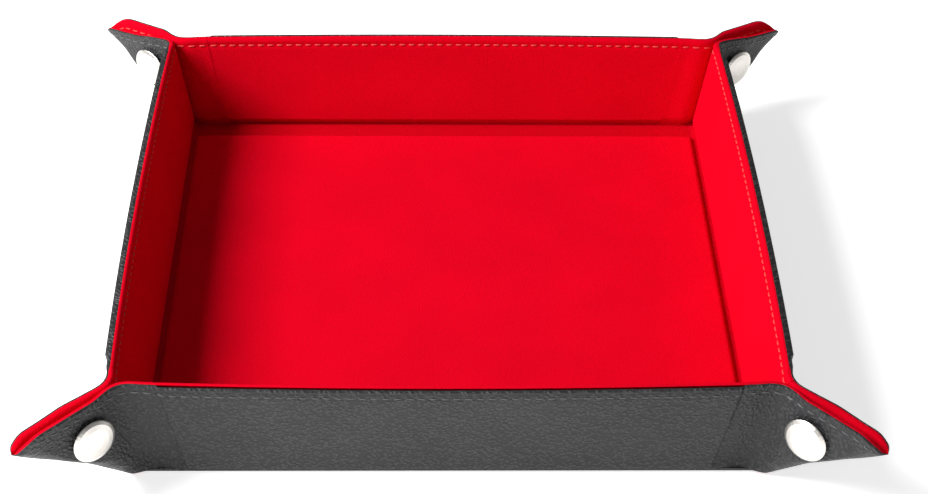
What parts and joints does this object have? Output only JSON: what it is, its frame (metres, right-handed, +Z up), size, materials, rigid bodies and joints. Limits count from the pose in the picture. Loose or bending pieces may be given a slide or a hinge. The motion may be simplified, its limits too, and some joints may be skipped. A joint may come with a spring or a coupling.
{
  "type": "folding dice tray",
  "caption": "Folding square tray for rolling dice: leather outside, velvet inside, four hinged walls held up by press studs at pinched corner ears. Opens out flat.",
  "frame": {"origin": "centre of the tray's underside", "axes": "+Z up, -Y towards the front wall, +X towards the right wall"},
  "size_m": [0.2428, 0.2318, 0.0352],
  "materials": {
    "leather": "grained",
    "velvet": "velvet pile",
    "board": "raw grey board",
    "nickel": "polished",
    "spring_steel": "bright wire"
  },
  "bodies": {
    "base": {"base_cover": "leather", "base_board": "board", "base_lining": "velvet"},
    "front_wall": {"front_wall_cover": "leather", "front_wall_board": "board", "front_wall_lining": "velvet"},
    "back_wall": {"back_wall_cover": "leather", "back_wall_board": "board", "back_wall_lining": "velvet"},
    "left_wall": {"left_wall_cover": "leather", "left_wall_board": "board", "left_wall_lining": "velvet"},
    "right_wall": {"right_wall_cover": "leather", "right_wall_board": "board", "right_wall_lining": "velvet"},
    "front_left_ear_front": {"front_left_ear_front_cover": "leather", "front_left_ear_front_lining": "velvet", "front_left_socket_cap": "nickel", "front_left_socket": "nickel", "front_left_snap_spring": "spring_steel"},
    "front_left_ear_side": {"front_left_ear_side_cover": "leather", "front_left_ear_side_lining": "velvet", "front_left_stud_cap": "nickel", "front_left_stud": "nickel"},
    "front_right_ear_front": {"front_right_ear_front_cover": "leather", "front_right_ear_front_lining": "velvet", "front_right_socket_cap": "nickel", "front_right_socket": "nickel", "front_right_snap_spring": "spring_steel"},
    "front_right_ear_side": {"front_right_ear_side_cover": "leather", "front_right_ear_side_lining": "velvet", "front_right_stud_cap": "nickel", "front_right_stud": "nickel"},
    "back_left_ear_back": {"back_left_ear_back_cover": "leather", "back_left_ear_back_lining": "velvet", "back_left_socket_cap": "nickel", "back_left_socket": "nickel", "back_left_snap_spring": "spring_steel"},
    "back_left_ear_side": {"back_left_ear_side_cover": "leather", "back_left_ear_side_lining": "velvet", "back_left_stud_cap": "nickel", "back_left_stud": "nickel"},
    "back_right_ear_back": {"back_right_ear_back_cover": "leather", "back_right_ear_back_lining": "velvet", "back_right_socket_cap": "nickel", "back_right_socket": "nickel", "back_right_snap_spring": "spring_steel"},
    "back_right_ear_side": {"back_right_ear_side_cover": "leather", "back_right_ear_side_lining": "velvet", "back_right_stud_cap": "nickel", "back_right_stud": "nickel"}
  },
  "joints": [
    {"name": "front_wall_fold", "type": "hinge", "parent": "base", "child": "front_wall", "pos_m": [0, -0.092, 0.0004], "axis": [1, 0, 0], "range_deg": [0, 83.5]},
    {"name": "back_wall_fold", "type": "hinge", "parent": "base", "child": "back_wall", "pos_m": [0, 0.092, 0.0004], "axis": [-1, 0, 0], "range_deg": [0, 83.55]},
    {"name": "left_wall_fold", "type": "hinge", "parent": "base", "child": "left_wall", "pos_m": [-0.092, 0, 0.0004], "axis": [0, -1, 0], "range_deg": [0, 79.55]},
    {"name": "right_wall_fold", "type": "hinge", "parent": "base", "child": "right_wall", "pos_m": [0.092, 0, 0.0004], "axis": [0, 1, 0], "range_deg": [0, 79.55]},
    {"name": "front_left_bend", "type": "hinge", "parent": "front_wall", "child": "front_left_ear_front", "pos_m": [-0.08697, -0.092, 0.0004], "axis": [0.1811, 0.1113, -0.9771], "range_deg": [0, 40.33]},
    {"name": "front_left_crest", "type": "hinge", "parent": "front_left_ear_front", "child": "front_left_ear_side", "pos_m": [-0.09254, -0.09247, -0.00041], "axis": [-0.5926, -0.463, 0.6592], "range_deg": [0, 180.05]},
    {"name": "front_right_bend", "type": "hinge", "parent": "front_wall", "child": "front_right_ear_front", "pos_m": [0.08697, -0.092, 0.0004], "axis": [0.1811, -0.1113, 0.9771], "range_deg": [0, 40.33]},
    {"name": "front_right_crest", "type": "hinge", "parent": "front_right_ear_front", "child": "front_right_ear_side", "pos_m": [0.09254, -0.09247, -0.00041], "axis": [-0.5926, 0.463, -0.6592], "range_deg": [0, 180.05]},
    {"name": "back_left_bend", "type": "hinge", "parent": "back_wall", "child": "back_left_ear_back", "pos_m": [-0.08697, 0.092, 0.0004], "axis": [-0.1811, 0.1113, 0.9771], "range_deg": [0, 40.33]},
    {"name": "back_left_crest", "type": "hinge", "parent": "back_left_ear_back", "child": "back_left_ear_side", "pos_m": [-0.09254, 0.09247, -0.00041], "axis": [0.5926, -0.463, -0.6592], "range_deg": [0, 180.05]},
    {"name": "back_right_bend", "type": "hinge", "parent": "back_wall", "child": "back_right_ear_back", "pos_m": [0.08697, 0.092, 0.0004], "axis": [-0.1811, -0.1113, -0.9771], "range_deg": [0, 40.33]},
    {"name": "back_right_crest", "type": "hinge", "parent": "back_right_ear_back", "child": "back_right_ear_side", "pos_m": [0.09254, 0.09247, -0.00041], "axis": [0.5926, 0.463, 0.6592], "range_deg": [0, 180.05]}
  ],
  "couplings": [
    {"joint": "back_wall_fold", "follows": "front_wall_fold", "ratio": 1},
    {"joint": "left_wall_fold", "follows": "front_wall_fold", "ratio": 0.9521},
    {"joint": "right_wall_fold", "follows": "front_wall_fold", "ratio": 0.9521},
    {"joint": "front_left_bend", "follows": "front_wall_fold", "ratio": 0.48244},
    {"joint": "front_left_crest", "follows": "front_wall_fold", "ratio": 2.1557},
    {"joint": "front_right_bend", "follows": "front_wall_fold", "ratio": 0.48244},
    {"joint": "front_right_crest", "follows": "front_wall_fold", "ratio": 2.1557},
    {"joint": "back_left_bend", "follows": "front_wall_fold", "ratio": 0.48244},
    {"joint": "back_left_crest", "follows": "front_wall_fold", "ratio": 2.1557},
    {"joint": "back_right_bend", "follows": "front_wall_fold", "ratio": 0.48244},
    {"joint": "back_right_crest", "follows": "front_wall_fold", "ratio": 2.1557}
  ]
}
